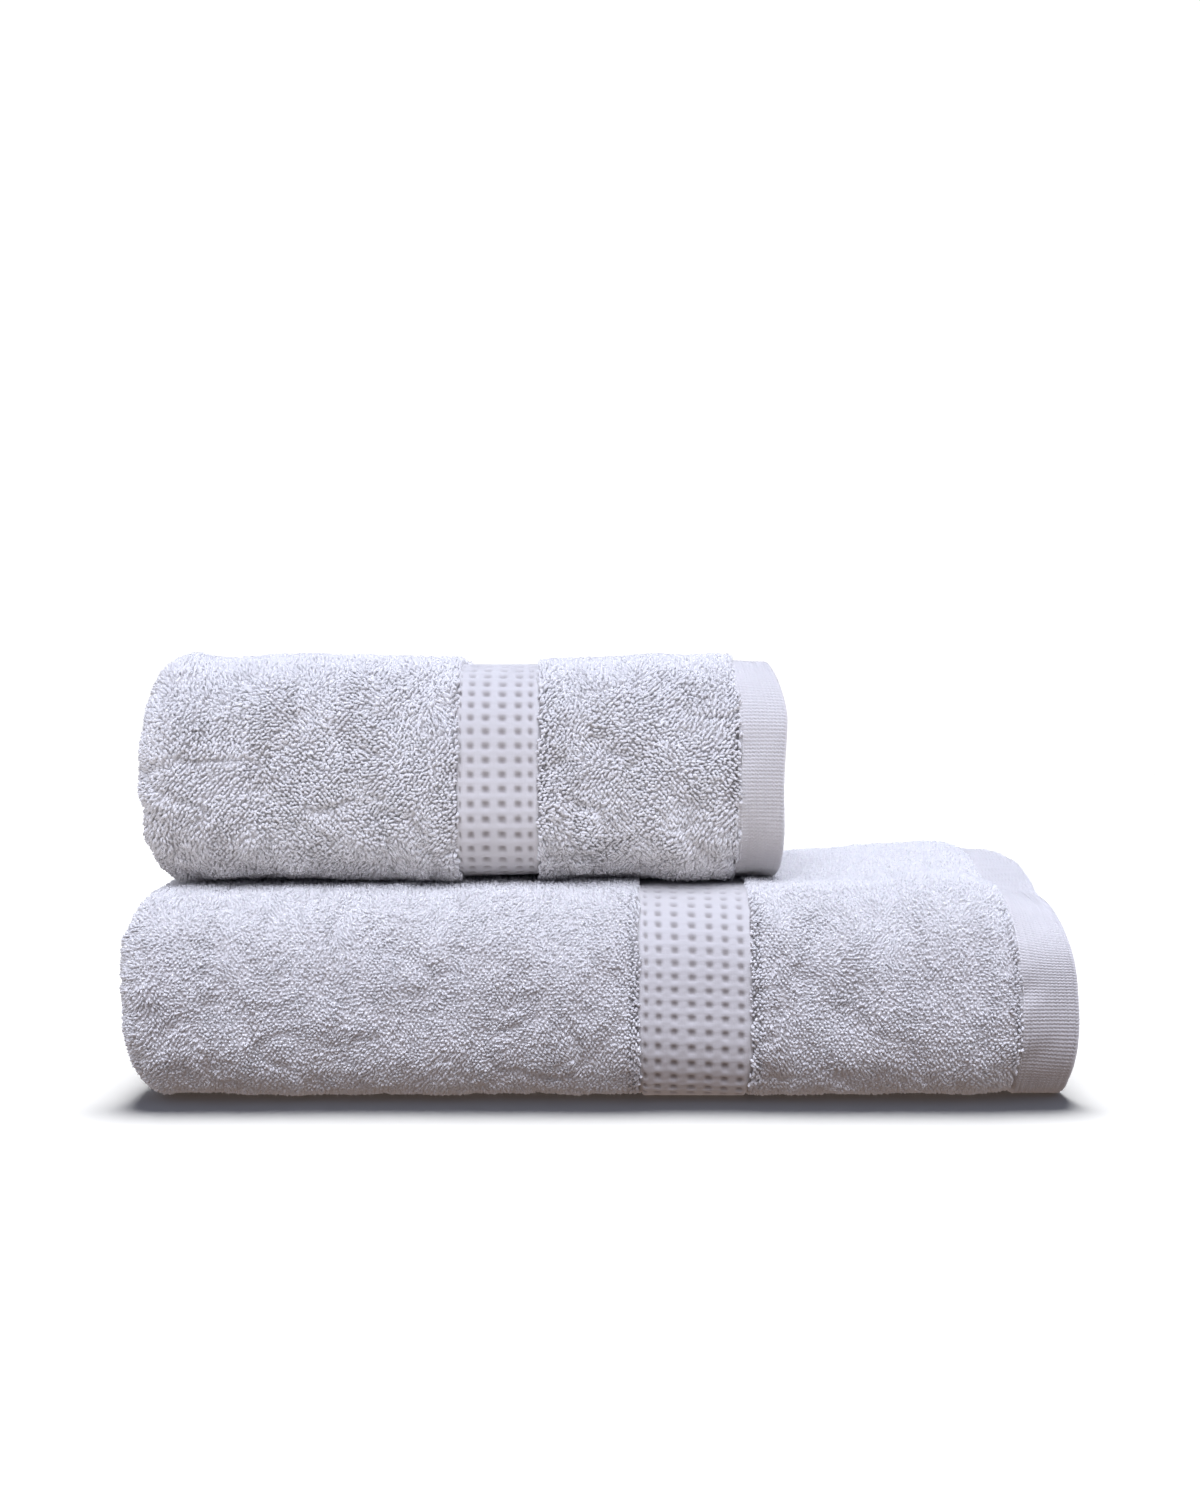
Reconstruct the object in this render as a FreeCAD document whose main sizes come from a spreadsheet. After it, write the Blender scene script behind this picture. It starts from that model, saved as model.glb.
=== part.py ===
import FreeCAD, Part
import math
import os
import Sketcher

# A bath towel set: a hand towel lying folded on a folded bath towel.
#
# Both towels are folded the same way. The cloth is folded in half twice along its length, which makes a
# pack of four plies: two plies with an end hem each at the right end, and two plain plies inside them
# that turn back there in a fold. The pack is then folded in thirds across the width, like a letter:
# a bottom leaf, a leaf tucked in from the back, and a top leaf that wraps round the front.
#
# Frame: +X to the hemmed end, +Y to the back, +Z up. The origin is on the surface that the set lies
# on, below the middle of the bath towel.

SIZES = [
    # alias, value in mm, what it is
    ("leaf_thick", 28.0, "four plies of terry, one leaf of the letter fold"),
    ("leaf_gap", 0.3, "air between two leaves, and between the two towels"),
    ("pile_step", 2.5, "how much lower the flat weave lies than the pile beside it"),
    ("stitch_row", 0.8, "width of the row of stitches beside an end hem"),
    ("stitch_sink", 0.4, "how far the stitches draw the cloth in"),
    ("end_round", 9.0, "radius of the folds at the left end of each leaf"),
    ("tucked_setback", 4.0, "how far the tucked leaf's left end stays inside the other two"),
    ("hem_round", 3.0, "rounding of the hem's free end"),
    ("ply_fold_round", 5.0, "rounding of the inner plies' fold at the right end"),
    ("fold_setback", 6.0, "how far the inner plies' fold stays inside the hem's end"),
    ("side_hem_width", 9.0, "width of the hem along a long edge"),
    ("side_hem_step", 2.0, "how much thinner the side hems lie than their leaf, above and below"),
    ("leaf_setback", 12.0, "how far the top leaf's free edge stays inside the back fold"),
    ("bath_left", -177.5, "left end of the bath towel"),
    ("bath_front", -116.5, "front of the bath towel"),
    ("bath_base", 0.0, "underside of the bath towel"),
    ("bath_depth", 233.0, "front to back, a third of the towel's width"),
    ("bath_field", 192.3, "length of the terry field on the folded towel"),
    ("bath_band", 41.6, "length of the border band"),
    ("bath_strip", 100.1, "length of the terry strip between band and hem"),
    ("bath_hem", 21.0, "length of the end hem with its stitches"),
    ("hand_left", -173.0, "left end of the hand towel"),
    ("hand_front", -104.0, "front of the hand towel"),
    ("hand_base", 84.3, "underside of the hand towel"),
    ("hand_depth", 167.0, "front to back, a third of the towel's width"),
    ("hand_field", 119.2, "length of the terry field on the folded towel"),
    ("hand_band", 30.4, "length of the border band"),
    ("hand_strip", 75.3, "length of the terry strip between band and hem"),
    ("hand_hem", 16.7, "length of the end hem with its stitches"),
]


class Size:
    """A length with the spreadsheet formula that it comes from."""

    def __init__(self, formula, value):
        self.formula = formula
        self.value = value

    @staticmethod
    def of(thing):
        return thing if isinstance(thing, Size) else Size(repr(float(thing)), float(thing))

    def __add__(self, other):
        other = Size.of(other)
        return Size(f"({self.formula} + {other.formula})", self.value + other.value)

    def __sub__(self, other):
        other = Size.of(other)
        return Size(f"({self.formula} - {other.formula})", self.value - other.value)

    def __mul__(self, other):
        other = Size.of(other)
        return Size(f"({self.formula} * {other.formula})", self.value * other.value)

    def __truediv__(self, other):
        other = Size.of(other)
        return Size(f"({self.formula} / {other.formula})", self.value / other.value)


def leg(radius, height):
    """The other leg of a right triangle: how far a circle reaches sideways at a height off its centre."""
    return Size(
        f"(sqrt({radius.formula} * {radius.formula} - {height.formula} * {height.formula}))",
        math.sqrt(radius.value ** 2 - height.value ** 2),
    )


doc = FreeCAD.newDocument("bath_towel_set")
sheet = doc.addObject("Spreadsheet::Sheet", "Sizes")
for row, (alias, value, note) in enumerate(SIZES, start=1):
    sheet.set(f"A{row}", alias)
    sheet.set(f"B{row}", str(value))
    sheet.set(f"C{row}", note)
    sheet.setAlias(f"B{row}", alias)
doc.recompute()

SIZE = {alias: Size(f"Sizes.{alias}", value) for alias, value, note in SIZES}
ZERO = Size("0", 0.0)
LEAF = SIZE["leaf_thick"]
PAIR = LEAF / 2
GAP = SIZE["leaf_gap"]
HEIGHT = LEAF * 3
SPLIT = LEAF * 2


# ---------------------------------------------------------------- cross-sections of the leaves
# Each is a closed outline in the plane across the towel: y runs from the front to the back and z up
# from the towel's underside. A corner is (y, z), and an arc to the next corner is (y, z, radius, its
# centre's y, its centre's z). With it go the numbers of the sides that are on the outside of the leaf.

def wrap(step):
    """Radius of the front fold for a weave that lies a step lower than the pile, and its centre."""
    radius = (HEIGHT - step) / 2
    return radius, HEIGHT / 2, radius


def on_fold(radius, centre_y, centre_z, level):
    """How far back the front fold's surface is at a level."""
    return centre_y - leg(radius, level - centre_z)


def bottom_leaf(depth, outer, inner, step):
    """Bottom leaf with the front fold up to the split, from one depth in the leaf to another."""
    level = SPLIT - GAP
    radius, mid_y, mid_z = wrap(step) if outer is ZERO else (HEIGHT / 2 - outer, HEIGHT / 2, HEIGHT / 2)
    core = HEIGHT / 2 - inner
    back = depth - LEAF
    corners = [(mid_y, outer)]
    corners.append((back, outer, LEAF - outer, back, LEAF))
    corners.append((depth - outer, LEAF))
    if inner is not LEAF:
        corners.append((depth - inner, LEAF, LEAF - inner, back, LEAF))
        corners.append((back, inner))
    corners.append((HEIGHT / 2, inner, core, HEIGHT / 2, HEIGHT / 2))
    corners.append((on_fold(core, HEIGHT / 2, HEIGHT / 2, level), level))
    corners.append((on_fold(radius, mid_y, mid_z, level), level, radius, mid_y, mid_z))
    return corners, (0, 1, len(corners) - 1)


def tucked_leaf(depth, outer, inner, step):
    """Leaf folded in from the back. Its outer face is its upper one, and its free edge is at the front."""
    low = LEAF + GAP
    high = SPLIT - GAP
    thick = high - low
    half = thick / 2
    middle = HEIGHT / 2
    back = depth - LEAF
    if inner is LEAF and outer is ZERO:
        return [
            (middle, low), (back + thick, low, thick, back, low), (back, high),
            (middle, high, half, middle, middle), (middle - half, middle, half, middle, middle),
        ], (1, 2, 3, 4)
    if outer is ZERO:
        return [
            (back + half, low), (back + thick, low, thick, back, low), (back, high),
            (middle, high, half, middle, middle), (middle - half, middle),
            (back, middle, half, back, low),
        ], (1, 2, 3)
    return [
        (middle, low), (back + half, low, half, back, low), (back, middle),
        (middle - half, middle, half, middle, middle),
    ], (1, 2, 3)


def top_leaf(depth, outer, inner, step):
    """Top leaf, which carries on over the front fold from the split up to its free edge at the back."""
    edge = depth - SIZE["leaf_setback"] - SIZE["side_hem_width"]
    middle = HEIGHT / 2
    radius, mid_y, mid_z = wrap(step) if outer is ZERO else (middle - outer, middle, middle)
    top = mid_z + radius
    corners = [(on_fold(radius, mid_y, mid_z, SPLIT), SPLIT, radius, mid_y, mid_z), (mid_y, top), (edge, top)]
    if inner is LEAF or outer is not ZERO:
        return corners + [(edge, SPLIT)], (0, 1)
    core = middle - inner
    return corners + [
        (edge, HEIGHT - inner), (middle, HEIGHT - inner, core, middle, middle),
        (on_fold(core, middle, middle, SPLIT), SPLIT),
    ], (0, 1)


# ---------------------------------------------------------------- bodies

def pin_to_axes(sketch, index, y, z):
    """Hold the start of a sketch edge at (y, z), each bound to its formula."""
    for kind, size, axis in (("DistanceX", y, -2), ("DistanceY", z, -1)):
        if abs(size.value) < 1e-9:
            sketch.addConstraint(Sketcher.Constraint("PointOnObject", index[0], index[1], axis))
            continue
        row = sketch.addConstraint(Sketcher.Constraint(kind, -1, 1, index[0], index[1], size.value))
        sketch.setExpression(f"Constraints[{row}]", size.formula)


def outline(body, corners):
    """Sketch a closed outline across the towel, every corner and radius bound to the sheet."""
    sketch = body.newObject("Sketcher::SketchObject", "Outline")
    plane = [p for p in body.Origin.OriginFeatures if p.Role == "YZ_Plane"][0]
    sketch.AttachmentSupport = [(plane, "")]
    sketch.MapMode = "FlatFace"
    ends = []
    radii = []
    for here, after in zip(corners, corners[1:] + corners[:1]):
        a = FreeCAD.Vector(here[0].value, here[1].value, 0)
        b = FreeCAD.Vector(after[0].value, after[1].value, 0)
        if len(here) == 2:
            geo = sketch.addGeometry(Part.LineSegment(a, b))
            ends.append(((geo, 1), (geo, 2)))
            continue
        centre = FreeCAD.Vector(here[3].value, here[4].value, 0)
        circle = Part.Circle(centre, FreeCAD.Vector(0, 0, 1), here[2].value)
        start, end = (math.atan2((p - centre).y, (p - centre).x) for p in (a, b))
        forward = (a - centre).cross(b - centre).z > 0
        if not forward:
            start, end = end, start
        if end < start:
            end += 2 * math.pi
        geo = sketch.addGeometry(Part.ArcOfCircle(circle, start, end))
        ends.append(((geo, 1), (geo, 2)) if forward else ((geo, 2), (geo, 1)))
        radii.append((geo, here[2]))
    for k, corner in enumerate(corners):
        before = ends[k - 1][1]
        start = ends[k][0]
        sketch.addConstraint(Sketcher.Constraint("Coincident", before[0], before[1], start[0], start[1]))
        pin_to_axes(sketch, start, corner[0], corner[1])
    for geo, radius in radii:
        row = sketch.addConstraint(Sketcher.Constraint("Radius", geo, radius.value))
        sketch.setExpression(f"Constraints[{row}]", radius.formula)
    return sketch


def middle_of(here, after):
    """The point halfway along one side of an outline."""
    a = FreeCAD.Vector(0, here[0].value, here[1].value)
    b = FreeCAD.Vector(0, after[0].value, after[1].value)
    if len(here) == 2:
        return (a + b) / 2
    centre = FreeCAD.Vector(0, here[3].value, here[4].value)
    return centre + ((a + b) / 2 - centre).normalize() * here[2].value


def slab(label, section, place, length, round_end=None, radius=None):
    """A body with a cross-section drawn along X from its place, the outside of one end rounded."""
    corners, outside = section
    body = doc.addObject("PartDesign::Body", label)
    body.Label = label
    sketch = outline(body, corners)
    pad = body.newObject("PartDesign::Pad", "Length")
    pad.Profile = sketch
    pad.setExpression("Length", length.formula)
    for axis, size in zip("xyz", place):
        body.setExpression(f"Placement.Base.{axis}", size.formula)
    doc.recompute()
    if round_end is not None:
        end = FreeCAD.Vector(0.0 if round_end == "left" else length.value, 0, 0)
        sides = [middle_of(corners[k], corners[(k + 1) % len(corners)]) + end for k in outside]
        edges = [
            f"Edge{n}" for n, edge in enumerate(pad.Shape.Edges, start=1)
            if any(edge.distToShape(Part.Vertex(side))[0] < 1e-4 for side in sides)
        ]
        rounding = body.newObject("PartDesign::Fillet", "EndRounding")
        rounding.Base = (pad, edges)
        rounding.setExpression("Radius", radius.formula)
        doc.recompute()
    return body


LEAVES = {"bottom_leaf": bottom_leaf, "tucked_leaf": tucked_leaf, "top_leaf": top_leaf}


def towel(name, key):
    """One folded towel, leaf by leaf, each leaf zone by zone along the towel."""
    left, front, base, depth = (SIZE[f"{key}_{part}"] for part in ("left", "front", "base", "depth"))
    field, band, strip, hem = (SIZE[f"{key}_{part}"] for part in ("field", "band", "strip", "hem"))
    step, row = SIZE["pile_step"], SIZE["stitch_row"]
    sunk = step + SIZE["stitch_sink"]
    zones = [
        ("border_band", band, step, None, None),
        ("end_strip", strip, ZERO, None, None),
        ("hem_stitching", row, sunk, None, None),
        ("end_hem", hem - row, step, "right", SIZE["hem_round"]),
    ]
    made = []
    for leaf, section in LEAVES.items():
        place = (left, front, base)
        whole = section(depth, ZERO, LEAF, ZERO)
        if leaf == "tucked_leaf":
            setback = SIZE["tucked_setback"]
            place = (left + setback, front, base)
            made.append(slab(f"{name}_{leaf}_terry_field", whole, place, field - setback))
        else:
            made.append(slab(f"{name}_{leaf}_terry_field", whole, place, field, "left", SIZE["end_round"]))
        start = left + field
        for zone, length, drop, end, radius in zones:
            shape = section(depth, ZERO, PAIR, drop)
            made.append(slab(f"{name}_{leaf}_{zone}", shape, (start, front, base), length, end, radius))
            start = start + length
        made.append(slab(
            f"{name}_{leaf}_inner_plies", section(depth, PAIR, LEAF, ZERO), (left + field, front, base),
            band + strip + hem - SIZE["fold_setback"], "right", SIZE["ply_fold_round"],
        ))
    return made


def side_hem(name, key):
    """The turned and stitched long edges of one leaf's four plies, along the top leaf's free edge."""
    left, front, base, depth = (SIZE[f"{key}_{part}"] for part in ("left", "front", "base", "depth"))
    whole = SIZE[f"{key}_field"] + SIZE[f"{key}_band"] + SIZE[f"{key}_strip"] + SIZE[f"{key}_hem"]
    inset = SIZE["end_round"]
    body = doc.addObject("PartDesign::Body", f"{name}_top_leaf_side_hem")
    body.Label = f"{name}_top_leaf_side_hem"
    box = body.newObject("PartDesign::AdditiveBox", "Hem")
    step = SIZE["side_hem_step"]
    box.setExpression("Length", (whole - inset * 2).formula)
    box.setExpression("Width", SIZE["side_hem_width"].formula)
    box.setExpression("Height", (LEAF - step * 2).formula)
    edge = depth - SIZE["leaf_setback"] - SIZE["side_hem_width"]
    for axis, size in zip("xyz", (left + inset, front + edge, base + SPLIT + step)):
        body.setExpression(f"Placement.Base.{axis}", size.formula)
    doc.recompute()
    return body


parts = []
for name, key in (("bath_towel", "bath"), ("hand_towel", "hand")):
    parts += towel(name, key)
    parts.append(side_hem(name, key))
doc.recompute()

# ---------------------------------------------------------------- checks, then one STEP file a part
for thing in doc.Objects:
    if "Invalid" in thing.State or "Error" in thing.State:
        raise SystemExit(f"{thing.Label} did not compute: {thing.State}")
for body in parts:
    shape = body.Shape
    if shape.isNull() or not shape.isValid() or len(shape.Solids) != 1:
        raise SystemExit(f"{body.Label} is not one valid solid")

os.makedirs("parts", exist_ok=True)
for body in parts:
    body.Shape.exportStep(f"parts/{body.Label}.step")
print(f"{len(parts)} parts")
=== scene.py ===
import math

import bpy
import numpy as np
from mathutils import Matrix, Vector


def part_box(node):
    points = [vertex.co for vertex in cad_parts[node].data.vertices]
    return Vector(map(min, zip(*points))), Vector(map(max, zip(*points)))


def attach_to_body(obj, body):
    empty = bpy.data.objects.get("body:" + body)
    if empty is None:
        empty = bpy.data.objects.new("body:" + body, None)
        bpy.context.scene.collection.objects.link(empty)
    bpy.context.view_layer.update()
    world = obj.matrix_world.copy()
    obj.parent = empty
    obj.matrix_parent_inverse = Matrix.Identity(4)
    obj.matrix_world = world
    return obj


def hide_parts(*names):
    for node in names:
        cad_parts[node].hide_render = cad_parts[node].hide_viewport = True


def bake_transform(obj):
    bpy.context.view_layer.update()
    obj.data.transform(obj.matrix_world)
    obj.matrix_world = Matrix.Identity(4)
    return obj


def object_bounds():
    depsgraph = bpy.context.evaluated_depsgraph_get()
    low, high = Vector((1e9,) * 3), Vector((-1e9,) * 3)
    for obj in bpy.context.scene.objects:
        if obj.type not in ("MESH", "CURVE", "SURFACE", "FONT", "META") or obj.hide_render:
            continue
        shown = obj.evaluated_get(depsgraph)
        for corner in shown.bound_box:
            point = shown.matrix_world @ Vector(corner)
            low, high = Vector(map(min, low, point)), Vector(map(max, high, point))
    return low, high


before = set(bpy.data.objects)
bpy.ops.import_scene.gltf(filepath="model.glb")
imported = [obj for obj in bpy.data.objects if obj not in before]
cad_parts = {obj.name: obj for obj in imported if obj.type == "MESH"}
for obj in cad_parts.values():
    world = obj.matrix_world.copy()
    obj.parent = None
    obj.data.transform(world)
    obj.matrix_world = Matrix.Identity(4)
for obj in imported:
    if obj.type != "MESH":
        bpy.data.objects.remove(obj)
cad_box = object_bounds()

MM = 0.001
LOOP_SCALE = 1.0  # larger gives fewer and larger loops
STEP_SCALE = 1.0  # and coarser bands and hems

# ---------------------------------------------------------------- noise


def lattice(seed, size=64):
    """A square of random values from -1 to 1, one for each whole place of a noise."""
    return np.random.default_rng(seed).uniform(-1.0, 1.0, (size, size))


def lattice_value(grid, i, j):
    """The value at a whole place. The lattice repeats in both directions."""
    n = grid.shape[0]
    return grid[i % n, j % n]


def noise(grid, a, b):
    """Smooth random field, about -1 to 1, with one bump per unit of a and b."""
    ia, ib = np.floor(a).astype(int), np.floor(b).astype(int)
    fa, fb = a - ia, b - ib
    fa, fb = fa * fa * (3 - 2 * fa), fb * fb * (3 - 2 * fb)
    low = lattice_value(grid, ia, ib) * (1 - fa) + lattice_value(grid, ia + 1, ib) * fa
    high = lattice_value(grid, ia, ib + 1) * (1 - fa) + lattice_value(grid, ia + 1, ib + 1) * fa
    return low * (1 - fb) + high * fb


def ease(a, low, high):
    """0 below low, 1 above high, smooth between."""
    f = np.clip((a - low) / (high - low), 0.0, 1.0)
    return f * f * (3 - 2 * f)


def bump(a, centre, width):
    """1 at the centre, and falling smoothly to 0 on both sides of it."""
    return np.exp(-((a - centre) / width) ** 2)


# ---------------------------------------------------------------- the folded cloth
# A point of the cloth is (u, s, d): u along the towel from the outer hem's end, s across it from the
# tucked edge to the top leaf's free edge, and d off the ply's middle, towards the outside of the wrap
# on the outermost ply.


SECOND_END_INSET = 2.0 * MM  # how far the second end hem lies behind the first
TUCK = 8 * MM  # how far the tucked edge reaches past the front fold's centre


class Towel:
    """A folded towel: its measures from the CAD, and where each point of its cloth lies.

    shift is the soft shape, dent how far the pile's surface rises and dips, and ground the height of
    the woven ground above the outermost ply's middle. upper and lower say how square the front fold's
    upper and lower halves are: 2 is round, and more is squarer.
    """

    def __init__(self, name, seed, shift, dent, ground, upper, lower):
        def box(part):
            return [np.array(c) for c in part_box(f"{name}_{part}")]

        field = box("bottom_leaf_terry_field")
        top = box("top_leaf_terry_field")
        self.name = name
        self.seed = seed
        self.shift = shift
        self.dent, self.ground = dent, ground
        self.upper, self.lower = upper, lower
        self.left, self.front, self.base = field[0]
        self.depth = field[1][1] - field[0][1]
        self.height = top[1][2] - self.base
        self.leaf = self.height / 3
        self.ply = self.leaf / 4
        self.split = top[0][2]
        self.band_x = box("bottom_leaf_border_band")[0][0]
        self.strip_x = box("bottom_leaf_end_strip")[0][0]
        self.hem_x = box("bottom_leaf_hem_stitching")[0][0]
        self.right = box("bottom_leaf_end_hem")[1][0]
        self.fold_x = box("bottom_leaf_inner_plies")[1][0] - self.ply
        self.edge_y = box("top_leaf_side_hem")[1][1] - self.front
        self.turn_x = self.left + self.leaf / 2
        p = self.ply
        # where the plies and the folds between them start and end, along the cloth
        self.runs = np.cumsum([
            0.0, self.right - self.turn_x, math.pi * 1.5 * p, self.fold_x - self.turn_x, math.pi * p / 2,
            self.fold_x - self.turn_x, math.pi * p / 2, self.right - SECOND_END_INSET - self.turn_x,
        ])
        self.length = self.runs[-1]
        half = self.height / 2
        self.tucked_y = half - TUCK
        back = self.depth - self.leaf
        # where the leaves and the folds between them start and end, across the cloth
        self.arcs = np.cumsum([
            0.0, back - self.tucked_y, math.pi * self.leaf / 2, back - half,
            math.pi * (half - self.leaf / 2), self.edge_y - half,
        ])
        self.width = self.arcs[-1]
        self.rough = [lattice(seed + k) for k in range(8)]

    def u_at(self, x):
        """How far along the outermost ply a place on the towel's length is."""
        return self.right - x

    def lengthwise(self, u, d):
        """Folded in half twice along its length: place along X and depth in the leaf."""
        p, r = self.ply, self.runs
        c, f = self.turn_x, self.fold_x
        x = np.where(u < r[1], self.right - u, 0.0)
        t = np.where(u < r[1], p / 2 - d, 0.0)
        # each fold's centre, its radius, the way it bulges and the side on which it starts
        folds = [
            (c, 2 * p, 1.5 * p + d, -1, -1),
            (f, 3 * p, p / 2 + d, 1, 1),
            (c, 2 * p, p / 2 - d, -1, 1),
        ]
        for k, (centre_x, centre_t, radius, way, side) in enumerate(folds):
            low, high = r[1 + 2 * k], r[2 + 2 * k]
            on = (u >= low) & (u < high)
            phi = (u - low) / (high - low) * math.pi
            x = np.where(on, centre_x + way * radius * np.sin(phi), x)
            t = np.where(on, centre_t + side * radius * np.cos(phi), t)
        on = (u >= r[2]) & (u < r[3])
        x, t = np.where(on, c + u - r[2], x), np.where(on, 3.5 * p + d, t)
        on = (u >= r[4]) & (u < r[5])
        x, t = np.where(on, f - (u - r[4]), x), np.where(on, 2.5 * p - d, t)
        on = u >= r[6]
        x, t = np.where(on, c + u - r[6], x), np.where(on, 1.5 * p + d, t)
        return x, t

    def across(self, s, t):
        """Folded in thirds across its width: y from the front and z from the underside."""
        a, leaf, half = self.arcs, self.leaf, self.height / 2
        back = self.depth - leaf
        y = self.tucked_y + s
        z = 2 * leaf - t
        phi = (s - a[1]) / (a[2] - a[1]) * math.pi
        on = (s >= a[1]) & (s < a[2])
        y = np.where(on, back + (leaf - t) * np.sin(phi), y)
        z = np.where(on, leaf + (leaf - t) * np.cos(phi), z)
        on = (s >= a[2]) & (s < a[3])
        y, z = np.where(on, back - (s - a[2]), y), np.where(on, t, z)
        on = (s >= a[3]) & (s < a[4])
        phi = (s - a[3]) / (a[4] - a[3]) * math.pi
        sin, cos = np.sin(phi), np.cos(phi)
        n = np.where(cos > 0, self.lower, self.upper)
        swell = (np.abs(sin) ** n + np.abs(cos) ** n) ** (-1.0 / n)
        y = np.where(on, half - (half - t) * swell * sin, y)
        z = np.where(on, half - (half - t) * swell * cos, z)
        on = s >= a[4]
        y, z = np.where(on, half + s - a[4], y), np.where(on, 3 * leaf - t, z)
        return y, z

    def place(self, u, s, d):
        """Where a point of the cloth lies, with the sags and bulges of the soft stack."""
        x, t = self.lengthwise(u, d)
        y, z = self.across(s, t)
        x, y, z = self.shift(self, x, y, z)
        return np.stack([x, y + self.front, z + self.base], axis=-1)

    def dents(self, u, s):
        """How the pile's surface rises and dips, in metres."""
        g = self.rough
        big = noise(g[0], u / 0.030, s / 0.022)
        mid = noise(g[1], u / 0.011 + big, s / 0.008)
        small = noise(g[2], u / 0.0052, s / 0.0041 + mid)
        # partings are narrow valleys, in some areas only
        parting = np.exp(-(noise(g[7], u / 0.016 + 0.6 * mid, s / 0.011) / 0.17) ** 2)
        parting = parting * ease(noise(g[6], u / 0.019, s / 0.017), -0.25, 0.35)
        swell = 0.4 * big + 0.75 * mid + 0.45 * small - 0.9 * parting
        # the inner plies are pressed flat
        pressed = ease(u, self.runs[2], self.runs[2] + 25 * MM)
        return swell * self.dent * (1 - 0.55 * self.round_front(s)) * (1 - pressed)

    def round_front(self, s):
        """How far a place is from the middle of the front: 0 in the middle, 1 above and below."""
        a = self.arcs
        return ease(np.abs((s - a[3]) / (a[4] - a[3]) - 0.5), 0.2, 0.42)


def bath_shift(towel, x, y, z):
    """The bath towel's soft shape, as a shift of the space that the folded cloth fills."""
    h = towel.height
    up = np.clip(z / h, 0.0, 1.0)
    mid = z / h - 0.5
    barrel = 1 - 4 * mid ** 2
    front = 1 - ease(y, 0.02, 0.09)
    inland = 1 - ease(x, 0.145, 0.172)
    # the top: raised at the back of the right half, with a hollow, slow waves and a rise at the front
    back = ease(y, 0.060, 0.165) * (1 - 0.5 * ease(y, 0.185, 0.235))
    lift = 7.5 * MM * ease(x, 0.03, 0.165) * back * (0.65 + 0.35 * inland)
    lift = lift - 2.2 * MM * bump(y, 0.085, 0.025) * ease(x, 0.05, 0.11) * inland
    lift = lift + 1.0 * MM * np.sin(x * 19.0 + 1.0) * np.sin(y * 16.0 + 0.6)
    lift = lift + 2.4 * MM * bump(y, 0.03, 0.03) * ease(x, 0.09, 0.145) * inland
    # the hand towel sinks in at the front, and the top corner of the right end droops
    sunk = (1 - ease(y, 0.04, 0.095)) * (1 - ease(x, 0.108, 0.122))
    droop = (1 - ease(y, 0.02, 0.10)) * bump(x, towel.right, 0.028)
    dz = lift * up ** 2 - 2.8 * MM * sunk * up ** 3 - 8.5 * MM * droop * ease(z, h * 0.45, h)
    # at half height the front waves and both ends bulge
    dy = -front * barrel * (0.8 * MM * np.sin(x * 23.0) + 0.7 * MM * np.sin(x * 47.0 + 2.0 + 5 * mid))
    dx = -2.0 * MM * barrel * bump(x, towel.left, 0.03) + 2.0 * MM * barrel * bump(x, towel.right, 0.02)
    # the right end draws back at the top and a little at the bottom, and both ends' edges wave
    cut = 6.5 * MM * (1 - ease(y, 0.05, 0.14))
    dx = dx - cut * ease(z, h * 0.5, h * 1.05) ** 1.3 * bump(x, towel.right, 0.034)
    dx = dx - 1.2 * MM * (1 - ease(z, 0.0, h * 0.45)) * bump(x, towel.right, 0.03)
    dx = dx + 1.2 * MM * np.sin(z * 90 + y * 20) * bump(x, towel.right, 0.03)
    dx = dx + 1.0 * MM * np.sin(z * 70 + y * 24 + 1.0) * bump(x, towel.left, 0.04)
    # the thin flat weaves lie lower than the pile at the bottom
    flat = ease(x, towel.band_x, towel.band_x + 2 * MM)
    flat = flat * (1 - ease(x, towel.strip_x - 2 * MM, towel.strip_x))
    flat = np.maximum(flat, ease(x, towel.hem_x, towel.hem_x + 2 * MM))
    dz = dz - 2.4 * MM * flat * (1 - ease(z, 2 * MM, 30 * MM))
    # the fold comes forward at the very bottom, and the hem tucks in there
    tuck = ease(x, towel.hem_x - 12 * MM, towel.hem_x + 6 * MM) * (1 - ease(y, 0.03, 0.08))
    dy = dy - 4 * MM * (1 - ease(y, 0.03, 0.09)) * (1 - ease(z, 0.0, h * 0.13))
    dy = dy + 10 * MM * tuck * np.clip(1 - z / (62 * MM), 0.0, 1.0) ** 1.6
    return x + dx, y + dy, z + dz


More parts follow.
